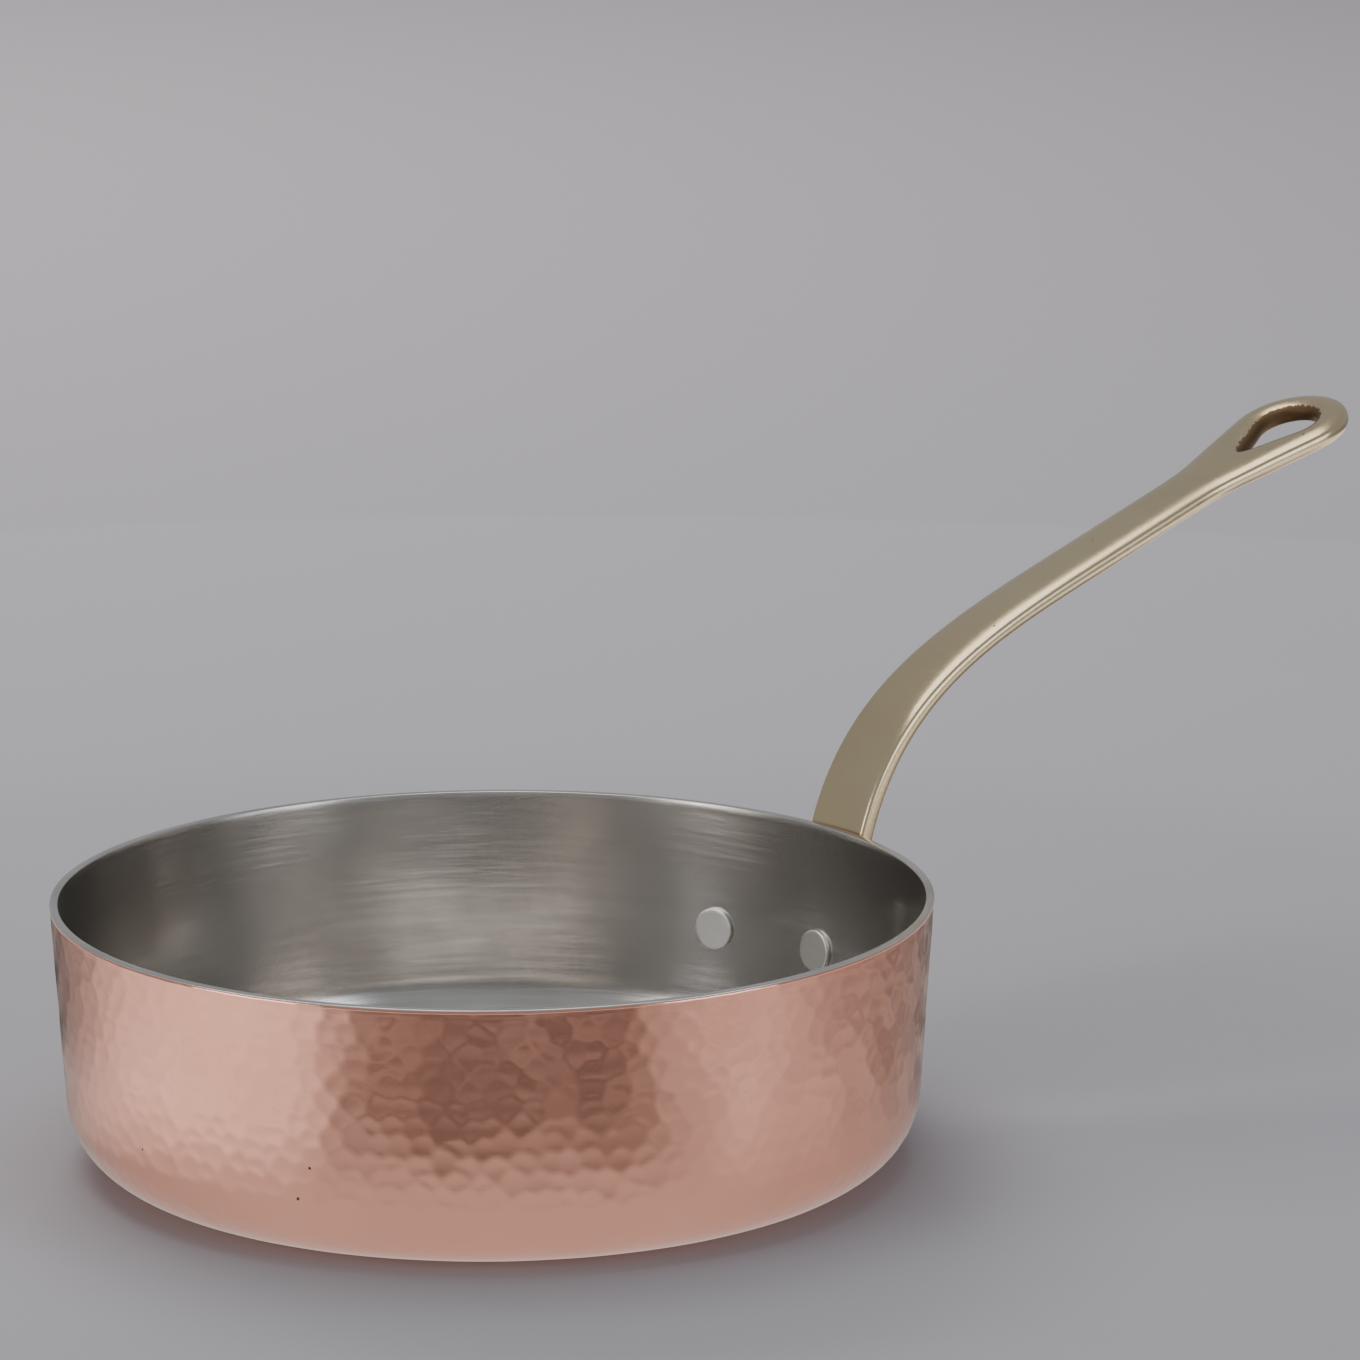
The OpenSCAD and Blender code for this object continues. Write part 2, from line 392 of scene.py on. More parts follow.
@dataclass(frozen=True)
class PanShape:
    """The pan's turned shape, which the lining, the rivets and the foot plate follow."""

    rim_radius: float = 120 * MM
    height: float = 73 * MM
    gauge: float = 2 * MM
    tin: float = 0.3 * MM
    lean: float = math.radians(3.6)
    corner: float = 20 * MM
    rivet_z: float = 37 * MM
    rivet_spacing: float = 39 * MM
    hole_radius: float = 3.05 * MM
    foot_plate: float = 4 * MM
    plain_step: float = 8 * MM
    plain_bend: float = 2.4 * MM
    drill_reach: float = 7 * MM
    hole_sides: int = 48

    def wall_radius(self, z: float, inset: float = 0.0) -> float:
        """Radius of the straight wall at a height, drawn in by inset square to the wall."""
        return self.rim_radius - (self.height - z) * math.tan(self.lean) - inset / math.cos(self.lean)

    @property
    def corner_x(self) -> float:
        """Radius at which the flat of the base meets the corner's arc."""
        meet = self.wall_radius(self.corner * (1 - math.sin(self.lean)))
        return meet - self.corner * math.cos(self.lean)

    @property
    def rivet_step(self) -> float:
        """Angle between neighbouring rivets."""
        return self.rivet_spacing / self.wall_radius(self.rivet_z)

    def outline(self, inset: float, top: float, step: float, bend: float) -> Line:
        """Points of a half section from the top of the wall down to the flat of the base.

        Args:
            inset: how far inside the outer face the line lies.
            top: height at which it starts.
            step: spacing of the points on the straight wall.
            bend: spacing of the points round the corner.

        Returns:
            Radius and height of each point, ending where the flat of the base begins.
        """
        arc = self.corner - inset
        low = self.corner - arc * math.sin(self.lean)
        rows = max(2, round((top - low) / step))
        heights = [mix(top, low, i / rows) for i in range(rows + 1)]
        line = [(self.wall_radius(z, inset), z) for z in heights]
        sweep = math.pi / 2 - self.lean
        turns = max(3, round(arc * sweep / bend))
        angles = [self.lean + sweep * i / turns for i in range(1, turns + 1)]
        line += [(self.corner_x + arc * math.cos(a), self.corner - arc * math.sin(a)) for a in angles]
        return line

    def rivet_frame(self, azimuth: float) -> Matrix:
        """Puts a rivet's own Z axis square to the wall at its height, pointing out of the pan."""
        out = Matrix.Translation((self.wall_radius(self.rivet_z), 0, self.rivet_z))
        return Matrix.Rotation(azimuth, 4, "Z") @ out @ Matrix.Rotation(math.pi / 2 + self.lean, 4, "Y")

    def drill(self, made: Object) -> None:
        """Cuts the three rivet holes.

        Args:
            made: the piece to drill.
        """
        ends = (self.drill_reach, -self.drill_reach)
        line = [(0.0, ends[0]), *((self.hole_radius, end) for end in ends), (0.0, ends[1])]
        pin, _ = turned("pin", line, self.hole_sides)
        points: list[Vector] = []
        faces: Rows = []
        for azimuth in (-self.rivet_step, 0.0, self.rivet_step):
            base = len(points)
            frame = self.rivet_frame(azimuth)
            points += [frame @ v.co for v in pin.data.vertices]
            faces += [[base + i for i in f.vertices] for f in pin.data.polygons]
        cutter = mesh_object("three_pins", points, faces)
        cut = made.modifiers.new("rivet_holes", "BOOLEAN")
        cut.operation = "DIFFERENCE"
        cut.solver = "MANIFOLD"
        cut.object = cutter
        freeze(made)
        bpy.data.objects.remove(pin)
        bpy.data.objects.remove(cutter)


@dataclass(frozen=True)
class HammerMarks:
    """A Geometry Nodes tree that beats rows of overlapping round marks into a turned wall.

    Each row is struck after the one above it, so its marks end in whole arches on top of those.
    """

    marks_round: float = 110
    row_pitch: float = 5.0 * MM
    mark_radius: float = 4.3 * MM
    growth: float = 0.3
    depth: float = 0.16 * MM
    edge: float = 0.24
    first_row: float = 2.0 * MM
    fade_from: float = 60 * MM
    fade_to: float = 78 * MM
    plain_from: float = 84 * MM
    rim_ramp: float = 1.5 * MM
    stray: float = 0.6
    wave: float = 0.16 * MM
    wave_length: float = 24 * MM

    def tree(self, shape: PanShape, copper: Material) -> tuple[NodeTree, dict[str, str]]:
        """Builds the tree.

        Args:
            shape: the pan's shape, which sets the pitch of the marks.
            copper: what the hammered wall is made of.

        Returns:
            The node group, and the identifier of each named input.
        """
        sizes = {name.replace("_", " ").title(): value for name, value in asdict(self).items()}
        sizes["Pitch"] = 2 * math.pi * shape.rim_radius / self.marks_round
        sizes["Seed"] = float(SEED)
        tree, inputs, given, add = start_tree("hammer_marks", sizes)
        turn = add("GeometryNodeInputNamedAttribute", named={"Name": "turn"}, data_type="FLOAT")
        down = add("GeometryNodeInputNamedAttribute", named={"Name": "down"}, data_type="FLOAT")
        across = add("Math MULTIPLY", turn, given["Marks Round"])
        below = add("Math SUBTRACT", down, given["First Row"])
        rows = add("Math DIVIDE", below, given["Row Pitch"])
        height: object = 0.0
        for step in (-1.0, 0.0, 1.0, 2.0):
            height = self._strike(add, given, across, rows, step, height)
        ends = (given["Fade From"], given["Fade To"])
        fade = add("MapRange", down, *ends, 1.0, 0.0, interpolation_type="SMOOTHSTEP")
        place = add("GeometryNodeInputPosition")
        fineness = add("Math DIVIDE", 1.0, given["Wave Length"])
        wave = add("TexNoise", place, named={"Scale": fineness, "Detail": 1.0})
        wave = add("Math SUBTRACT", wave, 1.0)
        wave = add("Math MULTIPLY", wave, given["Wave"])
        both = add("Math MULTIPLY_ADD", height, fade, wave)
        rim = add("MapRange", down, 0.0, given["Rim Ramp"], 0.0, 1.0)
        foot = add("MapRange", down, given["Fade To"], given["Plain From"], 1.0, 0.0)
        offset = add("Math MULTIPLY", both, add("Math MULTIPLY", rim, foot))
        normal = add("GeometryNodeInputNormal")
        push = add("VectorMath SCALE", normal, named={"Scale": offset})
        moved = add("GeometryNodeSetPosition", given["Geometry"], named={"Offset": push})
        solid = add("GeometryNodeRealizeInstances", moved)
        dressed = add("GeometryNodeSetMaterial", solid, named={"Material": copper})
        add("NodeGroupOutput", dressed)
        return tree, inputs

    @staticmethod
    def _strike(
        add: Adder,
        given: bpy_prop_collection,
        across: NodeSocket,
        rows: NodeSocket,
        step: float,
        height: object,
    ) -> NodeSocket:
        """Lays one row of marks over what is already struck.

        Args:
            add: adds a node to the tree.
            given: the group's inputs.
            across: place round the wall, in marks.
            rows: place down the wall, in rows.
            step: which row, counted from the point's own.
            height: what the earlier rows left, a number or a socket.

        Returns:
            The height of the surface once this row is struck.
        """
        level = add("Math FLOOR", rows)
        row = add("Math ADD", level, step)
        odd = add("Math FLOORED_MODULO", row, 2.0)
        shift = add("Math MULTIPLY", odd, 0.5)
        shifted = add("Math SUBTRACT", across, shift)
        first = add("Math FLOOR", shifted)
        point = add("CombineXYZ", shifted, rows, 0.0)
        pitches = add("CombineXYZ", given["Pitch"], given["Row Pitch"], 0.0)
        nearest: object = FAR
        for side in (0.0, 1.0):
            column = add("Math ADD", first, side)
            wrapped = add("Math FLOORED_MODULO", column, given["Marks Round"])
            key = add("CombineXYZ", wrapped, row, given["Seed"])
            chance = add("TexWhiteNoise", key, out="Color", noise_dimensions="3D")
            stray = add("VectorMath SUBTRACT", chance, (0.5, 0.5, 0.5))
            middle = add("CombineXYZ", column, row, 0.0)
            middle = add("VectorMath MULTIPLY_ADD", stray, given["Stray"], middle)
            apart = add("VectorMath SUBTRACT", point, middle)
            apart = add("VectorMath MULTIPLY", apart, pitches)
            away = add("VectorMath LENGTH", apart, out="Value")
            grown = add("SeparateXYZ", stray, out=2)
            grown = add("Math MULTIPLY_ADD", grown, given["Growth"], 1.0)
            size = add("Math MULTIPLY", grown, given["Mark Radius"])
            ratio = add("Math DIVIDE", away, size)
            nearest = add("Math MINIMUM", ratio, nearest)
        square = add("Math MULTIPLY", nearest, nearest)
        bowl = add("Math SUBTRACT", square, 1.0)
        dish = add("Math MULTIPLY", bowl, given["Depth"])
        inner = add("Math SUBTRACT", 1.0, given["Edge"])
        cover = add("MapRange", nearest, inner, 1.0, 1.0, 0.0, interpolation_type="SMOOTHSTEP")
        return add("Mix", cover, None, height, dish)


@dataclass
class PanBody:
    """The copper body: one sheet, raised, planished outside and open at the top."""

    shape: PanShape
    marks: HammerMarks = field(default_factory=HammerMarks)
    columns: int = 770
    fine_step: float = 0.98 * MM
    base_rings: tuple[float, ...] = (0.96, 0.8, 0.5, 0.2, 0.0)
    floor_rings: tuple[float, ...] = (0.0, 0.3, 0.7)

    def build(self, copper: Material) -> Object:
        """Turns the sheet, beats the marks into it and drills it for the rivets.

        Args:
            copper: the body's material.

        Returns:
            The finished body.
        """
        shape = self.shape
        top = shape.height - shape.tin
        outside = shape.outline(0.0, top, self.fine_step, self.fine_step)
        inside = shape.outline(shape.gauge, top, shape.plain_step, shape.plain_bend)
        base = [(shape.corner_x * share, 0.0) for share in self.base_rings]
        floor = [(shape.corner_x * share, shape.gauge) for share in self.floor_rings]
        line = outside + base + floor + inside[::-1]
        made, rings = turned("pan_body" + PIECE, line, self.columns, closed=True)
        turn = [0.0] * len(made.data.vertices)
        down = [FAR] * len(made.data.vertices)
        travelled = 0.0
        for k, ring in enumerate(rings[: len(outside)]):
            travelled += math.dist(outside[k - 1], outside[k]) if k else 0.0
            for c, vertex in enumerate(ring):
                turn[vertex] = c / self.columns
                down[vertex] = travelled
        tag(made, "turn", turn)
        tag(made, "down", down)
        hammer = made.modifiers.new("hammer_marks", "NODES")
        hammer.node_group, inputs = self.marks.tree(shape, copper)
        hammer[inputs["Depth"]] = self.marks.depth
        freeze(made)
        shape.drill(made)
        return made


@dataclass
class TinLining:
    """The tin over the whole inside and the cut edge of the rim, a little uneven as it froze."""

    shape: PanShape
    columns: int = 360
    step: float = 1.6 * MM
    edge: float = 0.25 * MM
    ripple: float = 0.09 * MM
    ripple_length: float = 16 * MM
    floor_rings: int = 30

    def build(self, tin: Material) -> Object:
        """Turns the lining, leaves its free face a little uneven and drills it for the rivets.

        Args:
            tin: the lining's material.

        Returns:
            The finished lining.
        """
        shape = self.shape
        inset = shape.gauge + shape.tin
        low = shape.height - shape.tin
        arc = [math.radians(a) for a in (0, 30, 60, 90)]
        outer = shape.wall_radius(shape.height) - self.edge
        inner = shape.wall_radius(shape.height, inset) + self.edge
        crest = shape.height - self.edge
        rim = [(shape.wall_radius(low), low)]
        rim += [(outer + self.edge * math.cos(a), crest + self.edge * math.sin(a)) for a in arc]
        rim += [(inner - self.edge * math.cos(a), crest + self.edge * math.sin(a)) for a in arc[::-1]]
        face = shape.outline(inset, crest - self.step, self.step, self.step)
        floor = [(shape.corner_x * k / self.floor_rings, inset) for k in range(self.floor_rings)][::-1]
        back = [*shape.outline(shape.gauge, low, shape.plain_step, shape.plain_bend), (0.0, shape.gauge)]
        back.reverse()
        line = [*rim, *face, *floor, *back][::-1]
        made, rings = turned("tin_lining" + PIECE, line, self.columns, closed=True)
        vertices = made.data.vertices
        normals = [n.vector.copy() for n in made.data.vertex_normals]
        for ring in rings[len(back) : len(line) - len(rim)]:
            for k in ring:
                spot = vertices[k].co / self.ripple_length
                vertices[k].co += normals[k] * self.ripple * noise.noise(spot)
        dress(made, tin)
        shape.drill(made)
        return made


@dataclass
class Rivets:
    """Three solid rivets: flat tinned heads inside the pan, peened domes outside the foot plate."""

    shape: PanShape
    shank: float = 3.0 * MM
    head: float = 6.0 * MM
    head_height: float = 1.2 * MM
    head_edge: float = 0.3 * MM
    dome: float = 5.5 * MM
    dome_edge: float = 0.4 * MM
    dome_height: float = 2.4 * MM
    columns: int = 72
    dent: float = 0.12 * MM
    dent_spacing: float = 3.5 * MM
    face_rings: tuple[float, ...] = (0.85, 0.6, 0.3, 0.0)

    def upright(self) -> Object:
        """Turns one rivet on its own Z axis and beds both of its heads on the curved faces.

        Returns:
            The pattern for the three rivets.
        """
        layers = self.shape.gauge + self.shape.tin
        top = -layers - self.head_height
        dome_base = self.shape.foot_plate + self.dome_edge
        rise = self.dome_height - self.dome_edge
        angles = [math.pi / 2 * k / 9 for k in range(1, 9)]
        dome = [(0.0, dome_base + rise)]
        dome += [(self.dome * math.cos(a) ** 0.8, dome_base + rise * math.sin(a)) for a in angles[::-1]]
        dome += [(self.dome, dome_base)]
        bed = [(self.dome, self.shape.foot_plate), (self.shank, self.shape.foot_plate)]
        bed += [(self.shank, -layers), (self.head, -layers)]
        head = []
        for a in (math.radians(90), math.radians(60), math.radians(30), 0.0):
            in_by, up_by = self.head_edge * (1 - math.sin(a)), self.head_edge * (1 - math.cos(a))
            head.append((self.head - in_by, top + up_by))
        head += [(self.head * share, top) for share in self.face_rings]
        made, rings = turned("rivet_pattern", dome + bed + head, self.columns)
        curve = 2 * self.shape.wall_radius(self.shape.rivet_z)
        for ring in rings[len(dome) : len(dome) + len(bed)]:
            for k in ring:
                spot = made.data.vertices[k].co
                spot.z -= spot.y * spot.y / curve
        return made

    def tree(self, tin: Material) -> tuple[NodeTree, dict[str, str]]:
        """Builds the tree that sets a rivet in its hole, at an angle round the pan.

        Args:
            tin: the rivets' material.

        Returns:
            The node group, and the identifier of each named input.
        """
        sizes = {"Azimuth": 0.0, "Radius": self.shape.wall_radius(self.shape.rivet_z)}
        sizes |= {"Height": self.shape.rivet_z, "Lean": self.shape.lean, "Dent": self.dent}
        tree, inputs, given, add = start_tree("set_rivet", sizes | {"Seed": float(SEED)})
        place = add("GeometryNodeInputPosition")
        lumps = {"W": given["Seed"], "Scale": 1 / self.dent_spacing, "Detail": 1.0}
        lump = add("TexNoise", place, named=lumps, noise_dimensions="4D")
        lump = add("Math SUBTRACT", lump, 0.5)
        lump = add("Math MULTIPLY", lump, given["Dent"])
        normal = add("GeometryNodeInputNormal")
        push = add("VectorMath SCALE", normal, named={"Scale": lump})
        lumpy = add("GeometryNodeSetPosition", given["Geometry"], named={"Offset": push})
        spot = add("CombineXYZ", given["Radius"], 0.0, given["Height"])
        spot = add("VectorRotate", spot, named={"Angle": given["Azimuth"]}, rotation_type="Z_AXIS")
        point = add("GeometryNodeMeshLine", named={"Count": 1, "Start Location": spot})
        points = add("GeometryNodeMeshToPoints", point)
        tilt = add("Math ADD", given["Lean"], math.pi / 2)
        turn = add("CombineXYZ", 0.0, tilt, given["Azimuth"])
        rotation = add("FunctionNodeEulerToRotation", turn)
        placed = {"Instance": lumpy, "Rotation": rotation}
        riveted = add("GeometryNodeInstanceOnPoints", points, named=placed)
        solid = add("GeometryNodeRealizeInstances", riveted)
        dressed = add("GeometryNodeSetMaterial", solid, named={"Material": tin})
        add("NodeGroupOutput", dressed)
        return tree, inputs

    def build(self, tin: Material) -> list[Object]:
        """Sets the three rivets.

        Args:
            tin: the rivets' material.

        Returns:
            The left, the centre and the right rivet.
        """
        tree, inputs = self.tree(tin)
        pattern = self.upright()
        made = []
        for order, name in enumerate(("rivet_left", "rivet_centre", "rivet_right")):
            rivet = bpy.data.objects.new(name + PIECE, pattern.data.copy())
            bpy.context.scene.collection.objects.link(rivet)
            setter = rivet.modifiers.new("set_rivet", "NODES")
            setter.node_group = tree
            setter[inputs["Azimuth"]] = (1 - order) * self.shape.rivet_step
            setter[inputs["Seed"]] = float(SEED + order)
            freeze(rivet)
            made.append(rivet)
        bpy.data.objects.remove(pattern)
        return made


class Border(Enum):
    """How the edge of a plate is finished: insets in millimetres and shares of the half thickness."""

    CRISP = ((1.5, 1.0), (0.3, 0.98), (0.0, 0.55))
    ROUND = ((3.4, 0.93), (1.0, 0.74), (0.0, 0.34))


@dataclass
class Knot:
    """A point of a plate's middle surface, whose edge is crisp at roundness 0 and round at 1."""

    spot: Vector
    normal: Vector
    half: float
    roundness: float


@dataclass
class Plate:
    """A cage of quads for a bent plate of changing thickness, whose open edges are rolled over."""

    knots: list[Knot] = field(default_factory=list)
    quads: list[tuple[int, int, int, int]] = field(default_factory=list)

    def put(self, spot: Vector, normal: Vector, half: float, roundness: float) -> int:
        """Adds a point of the plate's middle surface, and returns its number."""
        self.knots.append(Knot(spot, normal, half, roundness))
        return len(self.knots) - 1

    def fill(self, rows: Rows) -> None:
        """Fills the gaps between neighbouring rows of equal length with quads."""
        for low, high in zip(rows, rows[1:]):
            self.quads += [(low[i], low[i + 1], high[i + 1], high[i]) for i in range(len(low) - 1)]

    def cage(self) -> tuple[list[Vector], Rows, Rows]:
        """Gives the plate its thickness.

        Returns:
            The cage's points and faces, and the cage's points made from each point of the plate,
            which run over the edge from the front to the back.
        """
        edges = {(a, b) for quad in self.quads for a, b in zip(quad, quad[1:] + quad[:1])}
        free = {a: b for a, b in edges if (b, a) not in edges}
        before = {b: a for a, b in free.items()}
        points: list[Vector] = []
        rings: Rows = []
        for i, knot in enumerate(self.knots):
            start = len(points)
            section = [(0.0, knot.half)]
            out = Vector()
            if i in free:
                ahead = self.knots[free[i]].spot - self.knots[before[i]].spot
                out = ahead.cross(knot.normal).normalized()
                section = [
                    (mix(c[0], r[0], knot.roundness) * MM, mix(c[1], r[1], knot.roundness) * knot.half)
                    for c, r in zip(Border.CRISP.value, Border.ROUND.value)
                ]
            section += [(inset, -height) for inset, height in section[::-1]]
            points += [knot.spot - out * inset + knot.normal * height for inset, height in section]
            rings.append(list(range(start, len(points))))
        faces = [[rings[i][0] for i in quad] for quad in self.quads]
        faces += [[rings[i][-1] for i in quad[::-1]] for quad in self.quads]
        for a, b in free.items():
            for near, far in zip(zip(rings[a], rings[a][1:]), zip(rings[b], rings[b][1:])):
                faces.append([*near, *far[::-1]])
        return points, faces, rings


@dataclass
class Handle:
    """One brass casting: a foot plate that hugs the wall, a bent shank, and a drop-shaped eye."""

    shape: PanShape
    lobe: float = 12 * MM
    fillet: float = 9 * MM
    reach: float = 196 * MM
    rise: float = 99 * MM
    slope: float = math.radians(19.3)
    straight: float = 107 * MM
    root_drop: float = 25 * MM
    bend_start: float = 58 * MM
    bend_end: float = 52 * MM
    root_width: float = 23 * MM
    neck_width: float = 20 * MM
    root_thickness: float = 4.6 * MM
    neck_thickness: float = 6.4 * MM
    gap: float = 0.2 * MM
    foot_gap: float = 0.06 * MM
    eye_radius: float = 18 * MM
    eye_point: float = 85 * MM
    hole_radius: float = 8.5 * MM
    hole_point: float = 20.5 * MM
    eye_thickness: float = 6.6 * MM
    bend_rows: int = 22
    straight_rows: int = 8
    crotch: float = 30 * MM
    swell: float = 3 / (2 + math.cos(math.pi / 8))
    crown: float = 0.045
    fillet_lift: float = 0.8 * MM
    fillet_flare: float = 0.7 * MM
    wing_columns: tuple[float, ...] = (0.22, 0.48, 0.74, 1.0)
    hole_backs: tuple[float, ...] = (18.2 * MM, 14.5 * MM, 10.0 * MM, 6.2 * MM)
    rim_backs: tuple[float, ...] = (22 * MM, 13 * MM)
    # A band of grime and painted shade on the handle where it meets the rim: how dark, how tall, how far
    # above the rim's top, and how far out from the wall.
    dirt_depth: float = 0.8
    dirt_height: float = 7 * MM
    dirt_middle: float = 1.5 * MM
    dirt_reach: float = 2 * MM

    def __post_init__(self) -> None:
        """Works out the path's four guide points, as x and z, and the eye's centre."""
        shape = self.shape
        root_z = shape.height - self.root_drop
        self.along = Vector((math.cos(self.slope), math.sin(self.slope)))
        self.up_wall = Vector((math.sin(shape.lean), math.cos(shape.lean)))
        tip = Vector((shape.rim_radius + self.reach, shape.height + self.rise))
        start = Vector((shape.wall_radius(root_z, -self.gap - self.root_thickness / 2), root_z))
        end = tip - self.along * self.straight
        after_start = start + self.up_wall * self.bend_start
        self.guides = (start, after_start, end - self.along * self.bend_end, end)
        self.eye = tip - self.along * self.eye_radius

    def bend(self, t: float) -> tuple[Vector, Vector]:
        """Follows the bent part of the path.

        Args:
            t: how far along it, from 0 to 1.

        Returns:
            The path's centre and its direction there, as x and z.
        """
        a, b, c, d = self.guides
        u = 1 - t
        spot = a * u**3 + b * 3 * u * u * t + c * 3 * u * t * t + d * t**3
        slope = (b - a) * u * u + (c - b) * 2 * u * t + (d - c) * t * t
        return spot, slope.normalized()

    def side(self, back: float) -> float:
        """Half width of the straight flanks at a distance behind the eye's centre."""
        flare = (self.eye_point - back) * math.tan(math.asin(self.eye_radius / self.eye_point))
        return max(self.neck_width / 2, flare)

    def strip(self, cage: Plate) -> Rows:
        """Lays the rows of the middle strip, from the bottom of the foot plate to behind the eye.

        Args:
            cage: the plate to add to.

        Returns:
            The point numbers of each row, from the edge at -y to the edge at +y.
        """
        shape = self.shape
        rows: list[tuple[Vector, Vector, float, float, float, float]] = []
        for k in range(-2, 3):
            z = shape.rivet_z + self.lobe * k / 2
            blend = ease(k / 3)
            half = mix(shape.foot_plate, self.root_thickness, blend) / 2
            back = mix(self.foot_gap, self.gap, blend)
            centre = Vector((shape.wall_radius(z, -half - back), z))
            rows.append((centre, self.up_wall, self.root_width / 2, half, 0.0, 1.0))
        for k in range(1, self.bend_rows + 1):
            t = k / self.bend_rows
            centre, heading = self.bend(t)
            wide = mix(self.root_width, self.neck_width, ease(t)) / 2
            half = mix(self.root_thickness, self.neck_thickness, ease(t)) / 2
            rows.append((centre, heading, wide, half, ease(t * 1.3), 1 - ease(t / 0.3)))
        run = self.straight - self.eye_radius - self.crotch
        for k in range(1, self.straight_rows + 1):
            gone = run * k / self.straight_rows
            wide = self.side(self.straight - self.eye_radius - gone)
            centre = self.guides[3] + self.along * gone
            rows.append((centre, self.along, wide, self.neck_thickness / 2, 1.0, 0.0))
        laid = []
        for centre, heading, wide, half, roundness, curl in rows:
            row = []
            for share in LEVELS:
                y = wide * share
                sag = curl * (centre.x - math.sqrt(centre.x**2 - y * y))
                normal = Vector((heading.y, curl * y / centre.x * heading.y, -heading.x)).normalized()
                crowned = half * (1 - self.crown * roundness * abs(share))
                spot = Vector((centre.x - sag, y, centre.y))
                row.append(cage.put(spot, normal, crowned, roundness))
            laid.append(row)
        return laid

    def on_wall(self, y: float, z: float) -> tuple[Vector, Vector]:
        """Lays a point on the foot plate's middle surface.

        Args:
            y: its distance from the handle's own plane.
            z: its height.

        Returns:
            The point, and the plate's direction there.
        """
        shape = self.shape
        radius = shape.wall_radius(z, -shape.foot_plate / 2 - self.foot_gap)
        x = math.sqrt(radius * radius - y * y)
        normal = Vector((x / radius, y / radius, -math.tan(shape.lean))).normalized()
        return Vector((x, y, z)), normal

    def wings(self, cage: Plate, laid: Rows) -> None:
        """Spreads the foot plate to a round lobe at each side rivet, with a fillet at the shank.

        Args:
            cage: the plate to add to.
            laid: the middle strip's rows.
        """
        shape = self.shape
        lobe_y = shape.wall_radius(shape.rivet_z) * math.sin(shape.rivet_step)
        edge = self.root_width / 2
        corner = self.fillet * (1 - math.sqrt(0.5))
        for way, column in ((-1, 0), (1, 4)):
            grid = [[row[column]] for row in laid[:5]]
            for share in self.wing_columns:
                for b, line in zip(LEVELS, grid):
                    lift = self.fillet_lift if share == self.wing_columns[0] and b == 1.0 else 0.0
                    y = way * mix(edge, lobe_y, share)
                    spot, normal = self.on_wall(y, shape.rivet_z + self.lobe * b + lift)
                    line.append(cage.put(spot, normal, shape.foot_plate / 2, 0.0))
            for a in (0.5, 1.0):
                for b, line in zip(LEVELS, grid):
                    y = lobe_y + self.lobe * self.swell * a * math.sqrt(1 - b * b / 2)
                    z = shape.rivet_z + self.lobe * self.swell * b * math.sqrt(1 - a * a / 2)
                    spot, normal = self.on_wall(way * y, z)
                    line.append(cage.put(spot, normal, shape.foot_plate / 2, 0.0))
            cage.fill([line[::way] for line in grid])
            spot, normal = self.on_wall(way * (edge + corner), shape.rivet_z + self.lobe + corner)
            inner = cage.knots[laid[4][column]]
            inner.spot, inner.normal = spot, normal
            cage.knots[laid[5][column]].spot.y += way * self.fillet_flare

    def eye_ring(self, cage: Plate, last: list[int]) -> list[int]:
        """Closes the plate round the drop-shaped hole.

        Args:
            cage: the plate to add to.
            last: the strip's last row, across the crotch.

        Returns:
            The plate's point numbers along the edge of the hole.
        """
        eye = Vector((self.eye.x, 0, self.eye.y))
        ahead = Vector((self.along.x, 0, self.along.y))
        normal = Vector((self.along.y, 0, -self.along.x))
        half = self.eye_thickness / 2
        slant = math.tan(math.asin(self.hole_radius / self.hole_point))
        flanks = [(-back, (self.hole_point - back) * slant) for back in self.hole_backs]
        holes = [(-self.hole_point, 0.0), *flanks]
        rims = [(-back, self.side(back)) for back in self.rim_backs]
        for angle in (112.5, 90, 67.5, 45, 22.5, 0):
            a = math.radians(angle)
            round_way = Vector((math.cos(a), math.sin(a))) * self.swell
            holes.append(tuple(round_way * self.hole_radius))
            rims.append(tuple(round_way * self.eye_radius))
        count = len(holes)
        shared = count - len(rims)

        def put(forward: float, y: float) -> int:
            """Adds a point of the eye's flat middle surface."""
            return cage.put(eye + ahead * forward + Vector((0, y, 0)), normal, half, 1.0)

        stations: Rows = []
        for k in [*range(count), *range(count - 2, 0, -1)]:
            way = 1 if len(stations) < count else -1
            hole = put(holes[k][0], way * holes[k][1])
            if k < shared:
                rim = last[2 + way * k]
            else:
                rim = put(rims[k - shared][0], way * rims[k - shared][1])
            middle = cage.knots[hole].spot.lerp(cage.knots[rim].spot, 0.5)
            stations.append([hole, cage.put(middle, normal, half, 1.0), rim])
        cage.fill([*stations, stations[0]])
        return [hole for hole, _, _ in stations]

    def build(self, brass: Material) -> Object:
        """Casts the handle: a cage, rounded by subdivision, then drilled for the rivets.

        Args:
            brass: the handle's material.

        Returns:
            The finished handle.
        """
        cage = Plate()
        laid = self.strip(cage)
        cage.fill(laid)
        self.wings(cage, laid)
        hole = self.eye_ring(cage, laid[-1])
        points, faces, rings = cage.cage()
        made = mesh_object("handle" + PIECE, points, faces)
        hole_wall = {k for i in hole for k in rings[i][1:-1]}
        # The eye's hole is left unpolished; elsewhere the attribute holds grime and painted shade where
        # the handle meets the rim.
        tag(made, "cast_skin", [1.0 if k in hole_wall else self.dirt(p) for k, p in enumerate(points)])
        smooth = made.modifiers.new("rounding", "SUBSURF")
        smooth.levels = smooth.render_levels = 3
        freeze(made)
        dress(made, brass)
        self.shape.drill(made)
        return made

